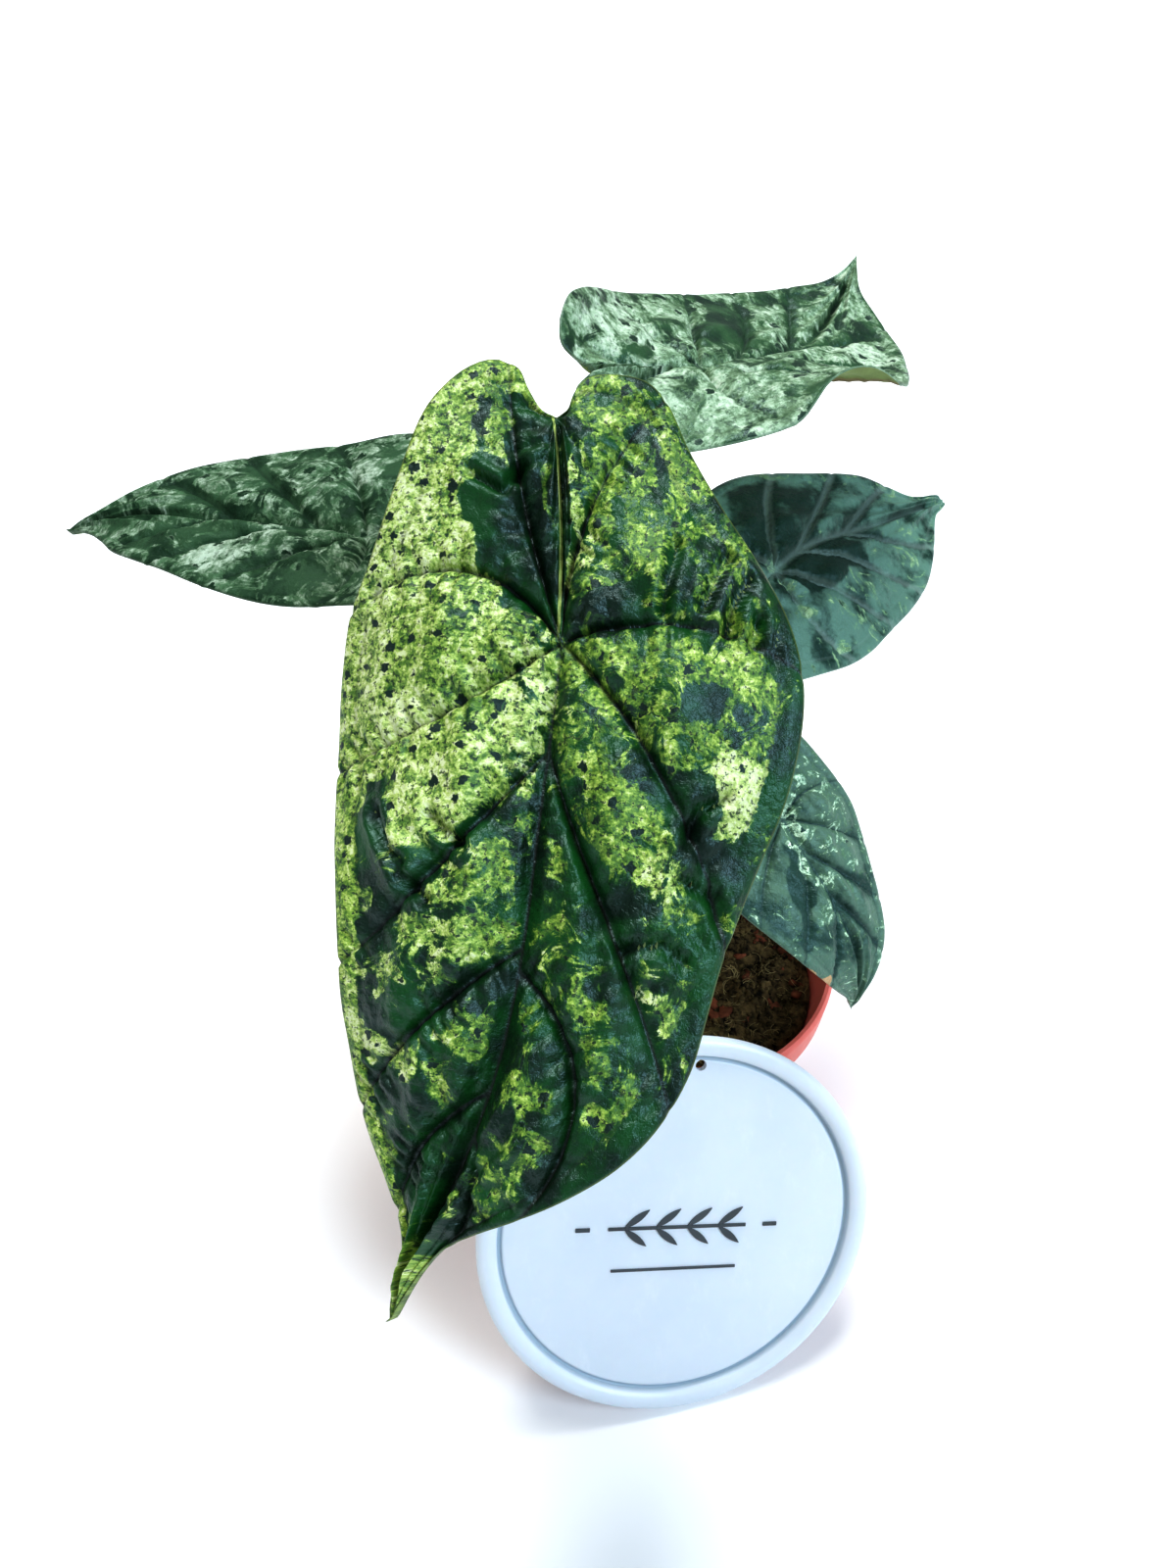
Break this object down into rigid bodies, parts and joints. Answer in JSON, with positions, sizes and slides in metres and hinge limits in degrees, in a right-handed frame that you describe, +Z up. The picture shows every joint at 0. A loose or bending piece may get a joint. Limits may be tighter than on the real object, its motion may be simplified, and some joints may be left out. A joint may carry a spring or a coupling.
{
  "type": "potted dragon scale alocasia",
  "caption": "Variegated dragon scale alocasia with quilted shield-shaped leaves on slim stalks, in a round plastic nursery pot with a blank round plant label leaning on its rim.",
  "frame": {"origin": "middle of the pot's base, on the surface that it stands on", "axes": "+Z up, -Y towards the front leaf and the label, +X to the viewer's right"},
  "size_m": [0.2808, 0.3082, 0.2994],
  "materials": {
    "pot_plastic": "satin pinkish terracotta, injection moulded",
    "potting_mix": "loose, moist, dull",
    "corm_husk": "dry, papery",
    "stalk": "smooth, satin",
    "leaf_front": "satin, dark green marbled with lime and cream",
    "leaf_back_right": "satin, dark green marbled with mint",
    "leaf_left": "satin, dark green marbled with mint",
    "leaf_right": "satin, dark teal green with pale veins",
    "leaf_low_right": "satin, dark blue green flecked with mint",
    "label_plastic": "satin bluish white with dark grey marks"
  },
  "bodies": {
    "root": {"pot": "pot_plastic", "soil": "potting_mix", "corm": "corm_husk", "petiole_front": "stalk", "leaf_front": "leaf_front", "petiole_back_right": "stalk", "leaf_back_right": "leaf_back_right", "petiole_left": "stalk", "leaf_left": "leaf_left", "petiole_right": "stalk", "leaf_right": "leaf_right", "petiole_low_right": "stalk", "leaf_low_right": "leaf_low_right", "label_disc": "label_plastic"}
  },
  "joints": []
}
